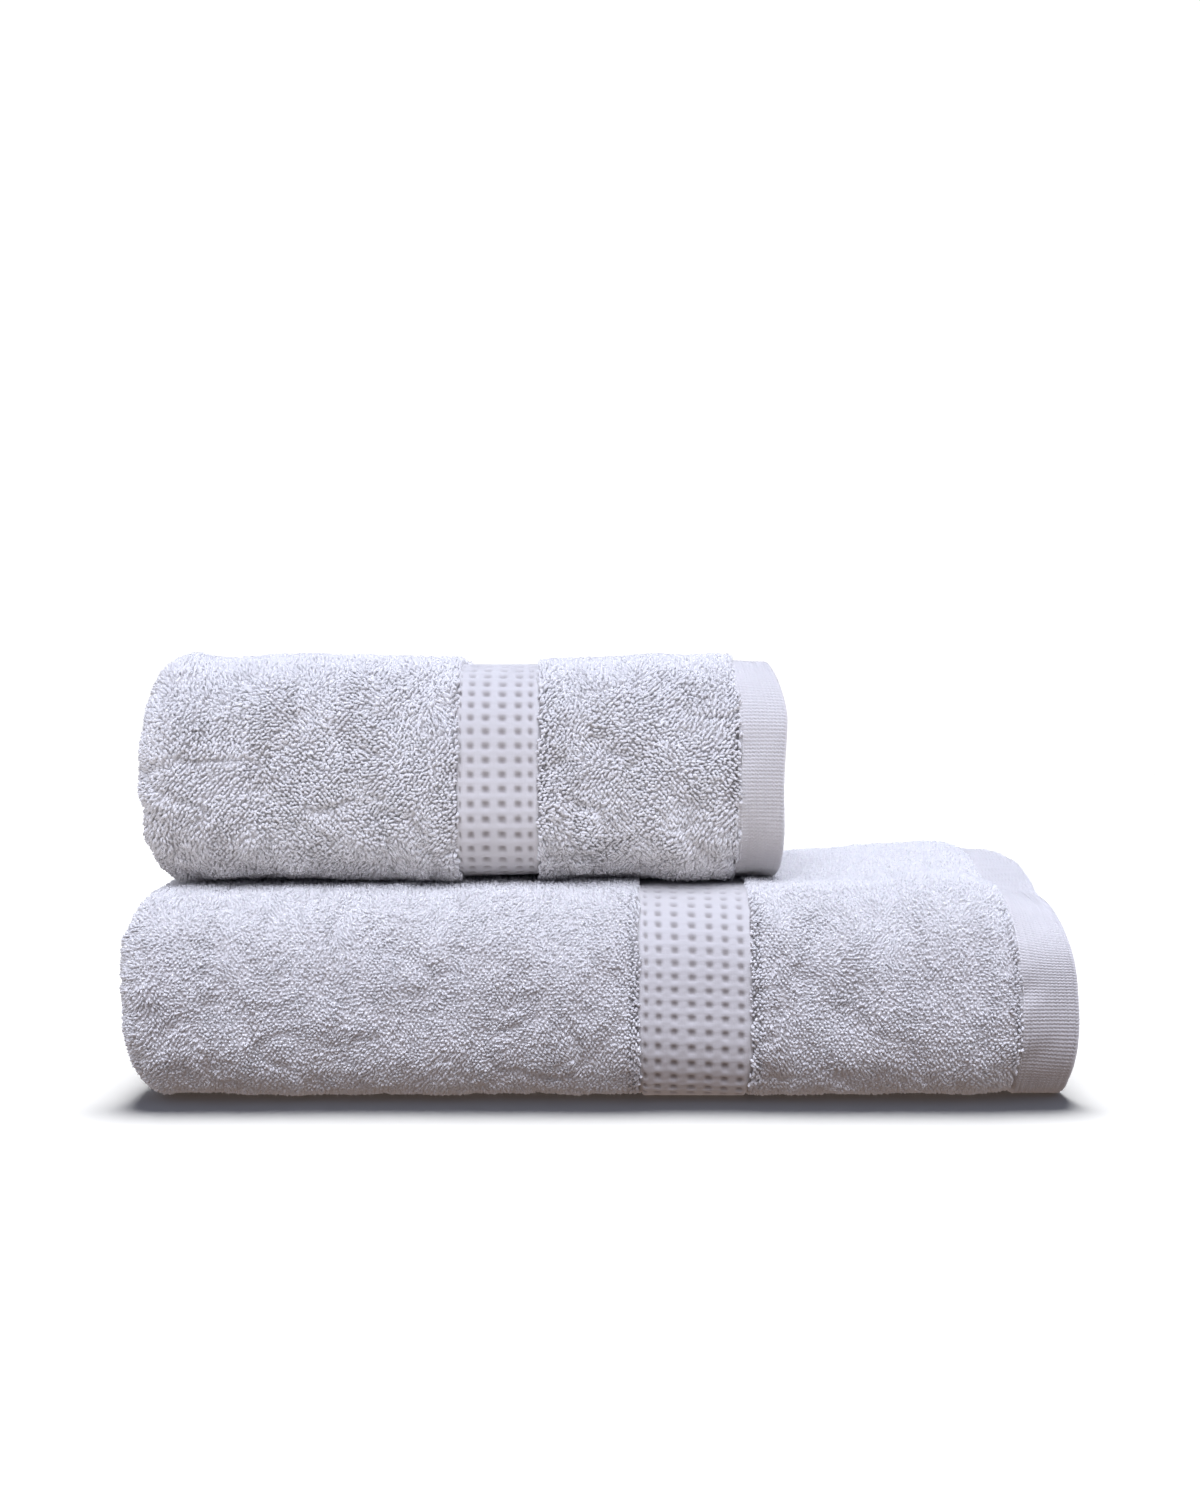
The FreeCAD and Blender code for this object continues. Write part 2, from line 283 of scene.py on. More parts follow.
def hand_shift(towel, x, y, z):
    """The hand towel's soft shape. It leaves the level where the top leaf parts at its height."""
    h = towel.height
    hinge = towel.split - towel.base
    up = np.clip((z - hinge) / (h - hinge), 0.0, 1.0)
    down = np.clip((hinge - z) / hinge, 0.0, 1.0)
    mid = z / h - 0.5
    barrel = 1 - 4 * mid ** 2
    front = 1 - ease(y, 0.02, 0.09)
    # the top's lumps, and an underside that sinks into the bath towel at the front
    top = 1.0 * MM * bump(x, -0.105, 0.05) - 1.6 * MM * bump(x, -0.145, 0.012)
    top = top + 0.8 * MM * bump(x, -0.158, 0.012)
    top = top + 1.0 * MM * ease(x, -0.02, 0.04) - 1.2 * MM * ease(x, 0.03, 0.07)
    top = top + 0.8 * MM * np.sin(x * 31.0) * np.sin(y * 22.0)
    low = 0.8 * MM * np.sin(x * 45.0 + 0.6) - 1.0 * MM * ease(x, 0.0, 0.05)
    dz = top * up + (low - 3.2 * MM) * down * (1 - ease(y, 0.03, 0.08))
    # the front waves at half height, and the hem tucks in towards the bottom
    dy = -front * barrel * (0.9 * MM * np.sin(x * 29.0 + 1.2) + 0.6 * MM * np.sin(x * 61.0 + 6 * mid))
    tuck = ease(x, towel.hem_x - 10 * MM, towel.hem_x + 4 * MM) * (1 - ease(y, 0.03, 0.08))
    dy = dy + 14 * MM * tuck * np.clip(1 - z / (64 * MM), 0.0, 1.0) ** 1.6
    # both ends bulge at half height and wave, and the right end draws back at the top
    dx = -2.0 * MM * barrel * bump(x, towel.left, 0.03) + 2.2 * MM * barrel * bump(x, towel.right, 0.02)
    dx = dx - 2.5 * MM * ease(z, h * 0.7, h) * bump(x, towel.right, 0.02)
    dx = dx + 1.0 * MM * np.sin(z * 85 + 1.0) * bump(x, towel.left, 0.03)
    dx = dx + 0.8 * MM * np.sin(z * 110 + 0.5) * bump(x, towel.right, 0.02)
    return x + dx, y + dy, z + dz


bath = Towel("bath_towel", 100, bath_shift, dent=1.25 * MM, ground=2.05 * MM, upper=2.4, lower=3.2)
hand = Towel("hand_towel", 200, hand_shift, dent=1.7 * MM, ground=1.6 * MM, upper=2.4, lower=3.0)


# ---------------------------------------------------------------- meshes


def make_mesh(name, points, quads, smooth=True):
    """A new object from points and four-sided faces. No point lies below the stack's underside."""
    mesh = bpy.data.meshes.new(name)
    points = np.array(points, dtype=np.float32).reshape(-1, 3)
    points[:, 2] = np.maximum(points[:, 2], 0.0)
    quads = np.asarray(quads, dtype=np.int32)
    size = quads.shape[1]
    mesh.vertices.add(len(points))
    mesh.vertices.foreach_set("co", points.ravel())
    mesh.loops.add(quads.size)
    mesh.loops.foreach_set("vertex_index", quads.ravel())
    mesh.polygons.add(len(quads))
    mesh.polygons.foreach_set("loop_start", np.arange(0, quads.size, size, dtype=np.int32))
    mesh.polygons.foreach_set("use_smooth", np.full(len(quads), smooth))
    mesh.update(calc_edges=True)
    obj = bpy.data.objects.new(name, mesh)
    bpy.context.scene.collection.objects.link(obj)
    return obj


def grid_quads(nu, ns, start=0, flip=False):
    """The faces of a grid of nu by ns points, whose first point is number start."""
    i, j = np.meshgrid(np.arange(nu - 1), np.arange(ns - 1), indexing="ij")
    a = (i * ns + j + start).ravel()
    quads = np.stack([a, a + ns, a + ns + 1, a + 1], axis=-1)
    return quads[:, ::-1] if flip else quads


def slab_mesh(name, outer, inner):
    """A closed slab between two grids of points of the same shape."""
    nu, ns = outer.shape[:2]
    count = nu * ns
    points = np.concatenate([outer.reshape(-1, 3), inner.reshape(-1, 3)])
    quads = [grid_quads(nu, ns), grid_quads(nu, ns, count, flip=True)]
    rows = np.arange(nu - 1) * ns
    cols = np.arange(ns - 1)
    # the four rims: each one's first points, the step to the next point and whether it is turned over
    edges = [
        (rows, ns, False),
        (rows + ns - 1, ns, True),
        (cols, 1, True),
        (cols + (nu - 1) * ns, 1, False),
    ]
    for first, step, flip in edges:
        a, b = first, first + step
        side = np.stack([a, a + count, b + count, b], axis=-1)
        quads.append(side[:, ::-1] if flip else side)
    return make_mesh(name, points, np.concatenate(quads))


def tubes(name, points):
    """Tubes with open ends, from points numbered by tube, by ring and by corner of the ring."""
    count, rings, corners = points.shape[:3]
    cells = []
    for k in range(rings - 1):
        for c in range(corners):
            a, b = k * corners + c, k * corners + (c + 1) % corners
            cells.append([a, b, b + corners, a + corners])
    first = np.arange(count) * rings * corners
    quads = (np.array(cells)[None] + first[:, None, None]).reshape(-1, 4)
    return make_mesh(name, points, quads)


def spaced(stops, steps):
    """Numbers along the stops, with about the given step in each span."""
    out = [stops[0]]
    for low, high, step in zip(stops[:-1], stops[1:], steps):
        count = max(1, int(round((high - low) / step)))
        out += list(low + (high - low) * np.arange(1, count + 1) / count)
    return np.array(out)


# ---------------------------------------------------------------- the cloth and its pile

LOOP_BASE = 1.2 * MM  # height of the loops' feet above the outermost ply's middle
MOST_LOOPS = 6000  # in one piece of the pile
FLAT_SUNK = 0.7 * MM  # about how far the ground lies below the ply's middle under the flat weaves
SIDE_CLEAR = 9 * MM  # from a long edge to where the pile and the band stop beside the side hem
HIDDEN_PITCH = 2.3 * MM  # between the loops that show only when the top leaf is open
HIDDEN_SIZE = 1.7  # and how much larger these are
COVERED_SHARE = 0.4  # of the loops that the bath towel keeps where the hand towel covers it
COVERED_SIZE = 1.6  # and how much larger these are


def flat_zone(towel, u):
    """1 where either end of the cloth is flat weave instead of pile, 0 elsewhere."""
    edge, beyond = 0.7 * MM, 2.2 * MM
    out = np.zeros_like(u)
    for distance in (u, towel.length - u):
        x = towel.right - distance
        band = ease(x, towel.band_x - beyond - edge, towel.band_x - beyond + edge)
        band = band * (1 - ease(x, towel.strip_x + beyond - edge, towel.strip_x + beyond + edge))
        hem = ease(x, towel.hem_x - beyond - edge, towel.hem_x - beyond + edge)
        out = np.maximum(out, np.maximum(band, hem))
    return out


def cloth(towel):
    """The whole towel as one sheet of cloth with its four plies and three leaves."""
    r, a = towel.runs, towel.arcs
    turn = 2.2 * MM
    u = spaced(list(r), [3.0 * MM, turn, 6 * MM, turn, 6 * MM, turn, 6 * MM])
    s = spaced(list(a), [6 * MM, 3.4 * MM, 6 * MM, 2.0 * MM, 3.6 * MM])
    u, s = np.meshgrid(u, s, indexing="ij")
    flat = flat_zone(towel, u)
    edge = np.minimum(s, towel.width - s)
    thin = 1 - ease(edge, 6 * MM, 11 * MM)
    rise = (towel.ground + towel.dents(u, s)) * (1 - flat) - FLAT_SUNK * flat
    rise = rise * (1 - thin) + 0.1 * MM
    sink = 1.5 * MM * (1 - thin) + 0.3 * MM
    return slab_mesh(f"{towel.name}_cloth", towel.place(u, s, rise), towel.place(u, s, -sink))


def unit(v):
    """The same directions with length 1."""
    return v / np.maximum(np.linalg.norm(v, axis=-1, keepdims=True), 1e-12)


def frames(towel, u, s, d):
    """Points of the cloth with their directions along u, along s, and outward."""
    e = 0.3 * MM
    here = towel.place(u, s, d)
    along = towel.place(u + e, s, d) - towel.place(u - e, s, d)
    over = towel.place(u, s + e, d) - towel.place(u, s - e, d)
    out = towel.place(u, s, d + e) - towel.place(u, s, d - e)
    out = unit(out)
    along = unit(along - out * np.sum(along * out, axis=-1, keepdims=True))
    over = unit(np.cross(out, along))
    return here, along, over, out


def spread(towel, along_u):
    """A line over the outside of the cloth: its cloth coordinates and its length up to each."""
    if along_u:
        line = np.linspace(0.0, towel.runs[2], 3000)
        points = towel.place(line, line * 0 + towel.arcs[4] + 30 * MM, line * 0 + LOOP_BASE)
    else:
        line = np.linspace(0.0, towel.width, 3000)
        points = towel.place(line * 0 + 80 * MM, line, line * 0 + LOOP_BASE)
    return line, np.concatenate([[0.0], np.cumsum(np.linalg.norm(np.diff(points, axis=0), axis=-1))])


def is_terry(towel, x):
    """Which places along a ply with an end hem are pile, and neither band nor hem."""
    return ((x < towel.band_x) | (x > towel.strip_x)) & (x < towel.hem_x)


def covered(towel, u, s):
    """Which places of the bath towel's top lie well under the hand towel."""
    place = towel.place(u, s, u * 0)
    x, y = place[:, 0], place[:, 1]
    inset = 14 * MM
    under = (s > towel.arcs[4]) & (x > hand.left + inset) & (x < hand.right - inset)
    return under & (y > hand.front + 1.6 * inset) & (y < hand.front + hand.depth - inset)


def hidden_seats(towel, rng):
    """Wider-set places for loops on the two faces that show once the top leaf is opened."""
    a, r = towel.arcs, towel.runs
    pitch = HIDDEN_PITCH * LOOP_SCALE
    u_steps = np.arange(0.0, r[3], pitch)
    s_steps = np.arange(10 * MM, towel.width - 10 * MM, pitch)
    u, s = np.meshgrid(u_steps, s_steps, indexing="ij")
    u = (u + rng.normal(0, 0.2, u.shape) * pitch).ravel()
    s = (s + rng.normal(0, 0.2, s.shape) * pitch).ravel()
    tucked = (s < a[1] - 12 * MM) & (u < r[1]) & is_terry(towel, towel.right - u)
    top = (s > a[4] + 3 * MM) & (u > r[2] + 4 * MM) & (u < r[3] - 4 * MM)
    return u[tucked | top], s[tucked | top]


def seats(towel, rng, pitch):
    """Where the loops stand, over everything that shows of the towel's pile, and each one's size."""
    u_line, u_far = spread(towel, True)
    s_line, s_far = spread(towel, False)
    pu, ps = pitch[0] * LOOP_SCALE, pitch[1] * LOOP_SCALE
    u_steps = np.arange(pu / 2, u_far[-1], pu)
    s_steps = np.arange(ps / 2, s_far[-1], ps)
    u, s = np.meshgrid(u_steps, s_steps, indexing="ij")
    odd = np.arange(u.shape[1]) % 2
    u = u + odd[None, :] * pu / 2 + rng.normal(0, 0.17, u.shape) * pu
    s = s + rng.normal(0, 0.17, s.shape) * ps
    u = np.interp(u.ravel(), u_far, u_line)
    s = np.interp(s.ravel(), s_far, s_line)
    a, r = towel.arcs, towel.runs
    x = towel.right - u + rng.normal(0, 0.3, len(u)) * MM
    terry = (u > r[1]) | is_terry(towel, x)
    wrap = s > a[3] - 18 * MM
    back_fold = (s > a[1] - 12 * MM) & (s < a[2] + 10 * MM)
    shows = wrap | back_fold | (u > r[1])
    inside = (s > 0) & (s < towel.width - SIDE_CLEAR) & (u < r[2])
    keep = terry & shows & inside
    u, s = u[keep], s[keep]
    size = np.full(len(u), LOOP_SCALE)
    if towel is bath:
        under = covered(towel, u, s)
        size[under] *= COVERED_SIZE
        keep = ~under | (rng.uniform(size=len(u)) < COVERED_SHARE)
        return u[keep], s[keep], size[keep]
    hidden_u, hidden_s = hidden_seats(towel, rng)
    size = np.concatenate([size, np.full(len(hidden_u), HIDDEN_SIZE * LOOP_SCALE)])
    return np.concatenate([u, hidden_u]), np.concatenate([s, hidden_s]), size


def loops(towel, pitch, flow, stray, yarn, reach, tall, sway):
    """Every loop of the pile, as the points of its tube: a yarn that goes up, leans and comes down.

    pitch is the spacing along and across the towel, and flow gives the way each loop lies. stray is how
    far it turns from that in radians, yarn its thickness, reach and tall its length and height, and
    sway how far its tip drifts with its neighbours'.
    """
    rng = np.random.default_rng(towel.seed)
    u, s, size = seats(towel, rng, pitch)
    n = len(u)
    dent = towel.dents(u, s)
    here, along, over, out = frames(towel, u, s, LOOP_BASE + dent)
    angle = flow(towel, u, s) + rng.normal(0, stray, n)
    go = along * np.cos(angle)[:, None] + over * np.sin(angle)[:, None]
    side = np.cross(out, go)
    width = reach * size * rng.uniform(0.75, 1.25, n)
    height = tall * rng.uniform(0.75, 1.2, n)
    g = towel.rough
    drift = along * noise(g[5], u / 0.0085, s / 0.0075)[:, None]
    drift = (drift + over * noise(g[6], u / 0.0085, s / 0.0075)[:, None]) * sway
    pressed = (1 - 0.6 * towel.round_front(s))[:, None]
    sideways = side * (rng.normal(0, 0.16, n) * MM)[:, None]
    forward = go * (rng.normal(0, 0.16, n) * MM)[:, None]
    lean = pressed * drift + sideways + forward
    # the yarn's five points: how far along and how high each one is, and how thick the yarn is there
    run = np.array([-0.34, -0.46, 0.0, 0.46, 0.34])
    rise = np.array([0.0, 0.68, 1.0, 0.68, 0.0])
    taper = np.array([0.7, 1.0, 1.1, 1.0, 0.7])
    path = (
        here[:, None, :]
        + go[:, None, :] * (run[None, :] * width[:, None])[..., None]
        + out[:, None, :] * (rise[None, :] * height[:, None])[..., None]
        + lean[:, None, :] * (rise ** 2)[None, :, None]
    )
    tangent = np.gradient(path, axis=1)
    tangent = tangent / np.linalg.norm(tangent, axis=-1, keepdims=True)
    across = np.cross(tangent, side[:, None, :] + 0 * tangent)
    thick = yarn * size * rng.uniform(0.85, 1.15, n)
    ring = []
    for phi in (math.pi / 4, math.pi * 3 / 4, math.pi * 5 / 4, math.pi * 7 / 4):
        off = side[:, None, :] * math.cos(phi) + across * math.sin(phi)
        ring.append(path + off * (thick[:, None] * taper[None, :] / 2)[..., None])
    return u, s, np.stack(ring, axis=2)


def split_s(towel):
    """How far across the cloth the front fold passes the level at which the top leaf parts."""
    s = np.linspace(towel.arcs[3], towel.arcs[4], 4000)
    u = s * 0 + towel.u_at(0.5 * (towel.left + towel.band_x))
    z = towel.place(u, s, s * 0 + 2 * MM)[:, 2]
    return float(s[np.argmax(z > towel.split)])


def pile(towel):
    """The pile in pieces, none of which lies on both sides of the level where the top leaf parts."""
    u, s, points = loops(towel, **STYLE[towel.name])
    shade = np.random.default_rng(towel.seed + 1).integers(0, 3, len(u)).astype(np.int32)
    upper = s > split_s(towel)
    made = []
    for leaf, chosen in (("lower", np.flatnonzero(~upper)), ("upper", np.flatnonzero(upper))):
        chosen = chosen[np.argsort(u[chosen], kind="stable")]
        for k, group in enumerate(np.array_split(chosen, math.ceil(len(chosen) / MOST_LOOPS))):
            obj = tubes(f"{towel.name}_{leaf}_pile_{k + 1:02d}", points[group])
            for cotton in PILE[towel.name]:
                obj.data.materials.append(cotton)
            faces = len(obj.data.polygons) // len(group)
            obj.data.polygons.foreach_set("material_index", np.repeat(shade[group], faces))
            made.append((obj, leaf))
    return made


# ---------------------------------------------------------------- materials


def material(name, color, roughness=0.9, sheen=0.3):
    """A matt material of one colour."""
    mat = bpy.data.materials.new(name)
    mat.use_nodes = True
    bsdf = mat.node_tree.nodes["Principled BSDF"]
    bsdf.inputs["Base Color"].default_value = (*color, 1.0)
    bsdf.inputs["Roughness"].default_value = roughness
    bsdf.inputs["Sheen Weight"].default_value = sheen
    bsdf.inputs["Sheen Roughness"].default_value = 0.5
    bsdf.inputs["Specular IOR Level"].default_value = 0.25
    return mat


def woven(name, color, dark, scale, pitch, strength, depth=0.3 * MM):
    """Cotton weave: small cells as a fine bump, and a soft change of colour over the cloth."""
    mat = material(name, color)
    tree = mat.node_tree
    bsdf = tree.nodes["Principled BSDF"]
    coords = tree.nodes.new("ShaderNodeTexCoord")
    cloud = tree.nodes.new("ShaderNodeTexNoise")
    cloud.inputs["Scale"].default_value = scale
    cloud.inputs["Detail"].default_value = 4.0
    ramp = tree.nodes.new("ShaderNodeMix")
    ramp.data_type = "RGBA"
    ramp.inputs["A"].default_value = (*dark, 1.0)
    ramp.inputs["B"].default_value = (*color, 1.0)
    tree.links.new(coords.outputs["Object"], cloud.inputs["Vector"])
    tree.links.new(cloud.outputs["Fac"], ramp.inputs["Factor"])
    tree.links.new(ramp.outputs["Result"], bsdf.inputs["Base Color"])
    cells = tree.nodes.new("ShaderNodeTexVoronoi")
    cells.inputs["Scale"].default_value = 1.0 / pitch
    cells.inputs["Randomness"].default_value = 0.55
    relief = tree.nodes.new("ShaderNodeBump")
    relief.inputs["Strength"].default_value = strength
    relief.inputs["Distance"].default_value = depth
    relief.invert = True
    tree.links.new(coords.outputs["Object"], cells.inputs["Vector"])
    tree.links.new(cells.outputs["Distance"], relief.inputs["Height"])
    tree.links.new(relief.outputs["Normal"], bsdf.inputs["Normal"])
    return mat


def paint_pit_shade(mat, color, share):
    """Mixes in a darker colour where the mesh's pit value is high: painted shade in a dimple, along with
    the darker look of its open weave.
    """
    tree = mat.node_tree
    pit = tree.nodes.new("ShaderNodeAttribute")
    pit.attribute_name = "pit"
    mixed = tree.nodes.new("ShaderNodeMix")
    mixed.data_type = "RGBA"
    mixed.inputs["B"].default_value = (*color, 1.0)
    amount = tree.nodes.new("ShaderNodeMath")
    amount.operation = "MULTIPLY"
    amount.inputs[1].default_value = share
    base = tree.nodes["Principled BSDF"].inputs["Base Color"]
    tree.links.new(base.links[0].from_socket, mixed.inputs["A"])
    tree.links.new(pit.outputs["Fac"], amount.inputs[0])
    tree.links.new(amount.outputs["Value"], mixed.inputs["Factor"])
    tree.links.new(mixed.outputs["Result"], base)


COTTON = (0.93, 0.92, 0.915)
PILE_SHADES = (1.0, 0.965, 0.93)
# the ground is darker than the loops' cotton: painted shade in the gaps between the loops
GROUND_WITH_PAINTED_SHADE = woven("terry_ground", (0.76, 0.74, 0.73), (0.70, 0.68, 0.67), 60.0, 1.6 * MM, 1.0, 0.9 * MM)
BAND = woven("waffle_weave", (0.74, 0.725, 0.715), (0.68, 0.66, 0.65), 90.0, 0.55 * MM, 0.35)
# painted shade in the band's dimples: a dark brown mixed in where the pit value is high
paint_pit_shade(BAND, (0.26, 0.225, 0.21), 0.72)
HEM = woven("hem_weave", (0.785, 0.765, 0.755), (0.725, 0.705, 0.695), 90.0, 0.6 * MM, 0.3)
THREAD = material("sewing_thread", (0.87, 0.86, 0.85), 0.6, 0.1)
PILE = {
    name: [
        material(f"{name}_pile_{k}", tuple(c * f for c in COTTON), 0.95, 0.35)
        for k, f in enumerate(PILE_SHADES)
    ]
    for name in ("bath_towel", "hand_towel")
}


# ---------------------------------------------------------------- flat weave

BAND_RISE = 1.1 * MM  # height of the band's face above the outermost ply's middle
WAFFLE_PITCH = 3.6 * MM  # at the cloth's middle, which the front fold's outside stretches
PIT_DEPTH = 0.9 * MM
RIB_PITCH = 0.92 * MM
DASH = 1.45 * MM  # length of the slanting dashes that make up the hem's ribs
HEM_RIM = 1.2 * MM  # half the thickness of an end hem
SIDE_HEM = 8.5 * MM  # width of a side hem
SIDE_RIM = 1.25 * MM  # half its thickness
SKIN = 0.5 * MM  # thickness of the woven layer of an end hem
SIDE_SKIN = 0.45 * MM  # the same for a side hem
PAST_TUCKED_HEM = 9.5 * MM  # from the tucked edge to where the hand towel's flat pieces start


def exposed(towel):
    """From where to where the outermost ply shows, across the cloth, at rest or opened."""
    return (towel.arcs[1] if towel is bath else PAST_TUCKED_HEM), towel.width


def border(towel, name, columns, slope):
    """The border band: a waffle weave with columns of small rectangular dimples."""
    u0, u1 = towel.u_at(towel.strip_x), towel.u_at(towel.band_x)
    s0, s1 = exposed(towel)
    u = spaced([u0 - 1.0 * MM, u1 + 1.0 * MM], [0.62 * MM * STEP_SCALE])
    s = spaced([s0, towel.arcs[3] - 14 * MM, s1 - SIDE_CLEAR], [1.1 * MM, 0.52 * MM * STEP_SCALE])
    u, s = np.meshgrid(u, s, indexing="ij")
    run = (towel.right - u - towel.band_x) / (towel.strip_x - towel.band_x)
    row = s / WAFFLE_PITCH - slope * (u - u0) / WAFFLE_PITCH
    row = row + 0.06 * noise(towel.rough[3], u / 0.012, s / 0.03)
    off = np.abs(row - np.round(row))
    tall = 1 - ease(off, 0.08, 0.34)
    wide = np.zeros_like(u)
    for centre, half in columns:
        away = np.abs(run - centre + 0.006 * noise(towel.rough[4], u / 0.02, s / 0.012))
        wide = np.maximum(wide, 1 - ease(away, half * 0.2, half * 1.15))
    pit = tall * wide
    ridge = -np.cos(2 * math.pi * row)
    cords = np.cos(2 * math.pi * row * 5.0) * (1 - pit)
    swell = noise(towel.rough[5], u / 0.014, s / 0.018)
    rise = BAND_RISE - PIT_DEPTH * pit + (0.04 * ridge + 0.06 * cords + 0.25 * swell) * MM
    from_edge = np.minimum(run, 1 - run) * (towel.strip_x - towel.band_x)
    rise = rise - 1.0 * MM * (1 - ease(from_edge, -1.0 * MM, 0.4 * MM))
    obj = slab_mesh(name, towel.place(u, s, rise), towel.place(u, s, rise * 0 - 0.6 * MM))
    # the dimples' painted shade is weaker above and below the middle of the front
    outer_pit_shade = pit * (1 - 0.6 * towel.round_front(s))
    values = np.concatenate([outer_pit_shade.ravel(), pit.ravel() * 0]).astype(np.float32)
    shade = obj.data.attributes.new("pit", "FLOAT", "POINT")
    shade.data.foreach_set("value", values)
    obj.data.materials.append(BAND)
    return obj


def hem(towel, name, inner):
    """An end hem: the flat ribbed weave turned in round the towel's end. The inner one is plain."""
    width = towel.right - towel.hem_x
    s0, s1 = exposed(towel)
    if inner:
        s = spaced([s0, s1 - 2 * MM], [1.5 * MM])
    else:
        stops = [s0, towel.arcs[3] - 8 * MM, towel.arcs[4] + 12 * MM, s1 - 2 * MM]
        s = spaced(stops, [1.5 * MM, RIB_PITCH / 4 * STEP_SCALE, 1.0 * MM])
    top = np.arange(width + 0.6 * MM, HEM_RIM, -0.42 * MM * STEP_SCALE)
    turn = np.linspace(0, math.pi, 6)[1:-1]
    back = np.arange(HEM_RIM, 7 * MM, 1.5 * MM)
    u_line = np.concatenate([top, HEM_RIM - HEM_RIM * np.sin(turn), back])
    d_line = np.concatenate([top * 0 + HEM_RIM, HEM_RIM * np.cos(turn), back * 0 - HEM_RIM])
    # how much of the relief each place shows: all on the face, half on the rim, none inside
    face = np.concatenate([top * 0 + 1, np.cos(turn) * 0.5, back * 0])
    u, s = np.meshgrid(u_line, s, indexing="ij")
    d = np.broadcast_to(d_line[:, None], u.shape)
    face = np.broadcast_to(face[:, None], u.shape)
    zig = np.abs(((u / DASH) % 1.0) - 0.5) * 2
    stray = 0.08 * noise(towel.rough[6], u / 0.01, s / 0.01)
    rib = np.cos(2 * math.pi * (s / RIB_PITCH + 0.55 * zig + stray))
    cut = 0.5 + 0.5 * np.cos(2 * math.pi * (u / DASH))
    pucker = noise(towel.rough[7], u / 0.012, s / 0.007)
    crease = noise(towel.rough[1], s / 0.0065 + u / 0.02, u / 0.05) * ease(u, 0.3 * width, width)
    rib = rib * (0.0 if inner else 1.0)
    rise = d + face * (0.4 * rib * (0.45 + 0.55 * cut) + 0.35 * pucker + 1.2 * crease) * MM
    rise = rise - 0.5 * MM * face * ease(u, width - 1.2 * MM, width)
    wave = 0.5 * MM * noise(towel.rough[5], s / 0.02, s * 0)
    shift = (towel.length - u - wave) if inner else (u + wave)
    inside = rise - np.sign(d + 1e-9) * SKIN
    obj = slab_mesh(name, towel.place(shift, s, rise), towel.place(shift, s, inside))
    obj.data.materials.append(HEM)
    return obj


def stitches(towel, name, inner):
    """The row of lockstitches that holds an end hem. Each stitch dips into the weave at its ends."""
    s0, s1 = exposed(towel)
    length, gap, thick, rings, corners = 2.4 * MM, 0.7 * MM, 0.38 * MM, 6, 6
    from_hem_edge = 1.1 * MM
    at = (towel.right - towel.hem_x) - from_hem_edge
    starts = np.arange(s0 + 2 * MM, s1 - 6 * MM, length + gap)
    steps = np.linspace(0, 1, rings)
    s = starts[:, None] + steps[None] * length
    u = at + 0 * s
    d = (1.15 - 0.5 * (2 * np.abs(steps[None] - 0.5)) ** 4 + 0 * s) * MM
    if inner:
        u = towel.length - u
    here, along, _, out = frames(towel, u.ravel(), s.ravel(), d.ravel())
    ring = []
    for phi in np.arange(corners) / corners * 2 * math.pi:
        ring.append(here + (along * math.cos(phi) + out * math.sin(phi)) * thick / 2)
    obj = tubes(name, np.stack(ring, axis=1).reshape(len(starts), rings, corners, 3))
    obj.data.materials.append(THREAD)
    return obj


def side_hem(towel, name, free):
    """The hem along one long edge: a narrow flat strip folded over the edge, all along the cloth."""
    r = towel.runs
    u = spaced(list(r), [3 * MM, 1.8 * MM, 3 * MM, 1.5 * MM, 3 * MM, 1.5 * MM, 3 * MM])
    turn = np.linspace(0, math.pi, 6)[1:-1]
    top = np.arange(SIDE_HEM, SIDE_RIM, -1.4 * MM)
    w_line = np.concatenate([top, SIDE_RIM - SIDE_RIM * np.sin(turn), top[::-1]])
    d_line = np.concatenate([top * 0 + SIDE_RIM, SIDE_RIM * np.cos(turn), top * 0 - SIDE_RIM])
    u, w = np.meshgrid(u, w_line, indexing="ij")
    d = np.broadcast_to(d_line[None, :], u.shape)
    wave = 0.6 * MM * noise(towel.rough[6], u / 0.03, u * 0)
    wave = wave + 0.25 * MM * noise(towel.rough[5], u / 0.006, w / 0.003)
    rise = d * (1 + 0.1 * noise(towel.rough[4], u / 0.005, w / 0.004))
    s = towel.width - w + wave if free else w - wave
    inner = rise - np.sign(rise) * SIDE_SKIN
    obj = slab_mesh(name, towel.place(u, s, rise), towel.place(u, s, inner))
    obj.data.materials.append(HEM)
    return obj


# ---------------------------------------------------------------- the two towels


def flow_hand(towel, u, s):
    """Which way the loops lie: along the towel in front, and across it above, below and at the left."""
    g = towel.rough
    swirl = noise(g[3], u / 0.026, s / 0.018) * 0.9 + noise(g[4], u / 0.010, s / 0.008) * 0.6
    turned = np.maximum(towel.round_front(s), ease(u, towel.runs[1] - 0.045, towel.runs[1]))
    return 0.4 + 1.0 * turned + swirl * (1 - 0.6 * turned)


def flow_bath(towel, u, s):
    """Which way the loops lie: in swirls in front, and more across the towel above and below."""
    g = towel.rough
    swirl = noise(g[3], u / 0.020, s / 0.018) * 1.6 + noise(g[4], u / 0.008, s / 0.007) * 1.1
    turned = towel.round_front(s)
    return 0.9 * turned + swirl * (1 - 0.5 * turned)


STYLE = {
    "hand_towel": dict(
        pitch=(1.72 * MM, 1.12 * MM), flow=flow_hand, stray=0.5,
        yarn=1.12 * MM, reach=1.0 * MM, tall=2.0 * MM, sway=1.5 * MM,
    ),
    "bath_towel": dict(
        pitch=(1.48 * MM, 1.16 * MM), flow=flow_bath, stray=0.75,
        yarn=0.98 * MM, reach=0.7 * MM, tall=1.75 * MM, sway=1.2 * MM,
    ),
}


# the body on which each part of the pile rides
BODIES = {"bath_towel": {"lower": "bath_towel", "upper": "bath_towel"},
          "hand_towel": {"lower": "hand_towel", "upper": "hand_towel_top_leaf"}}
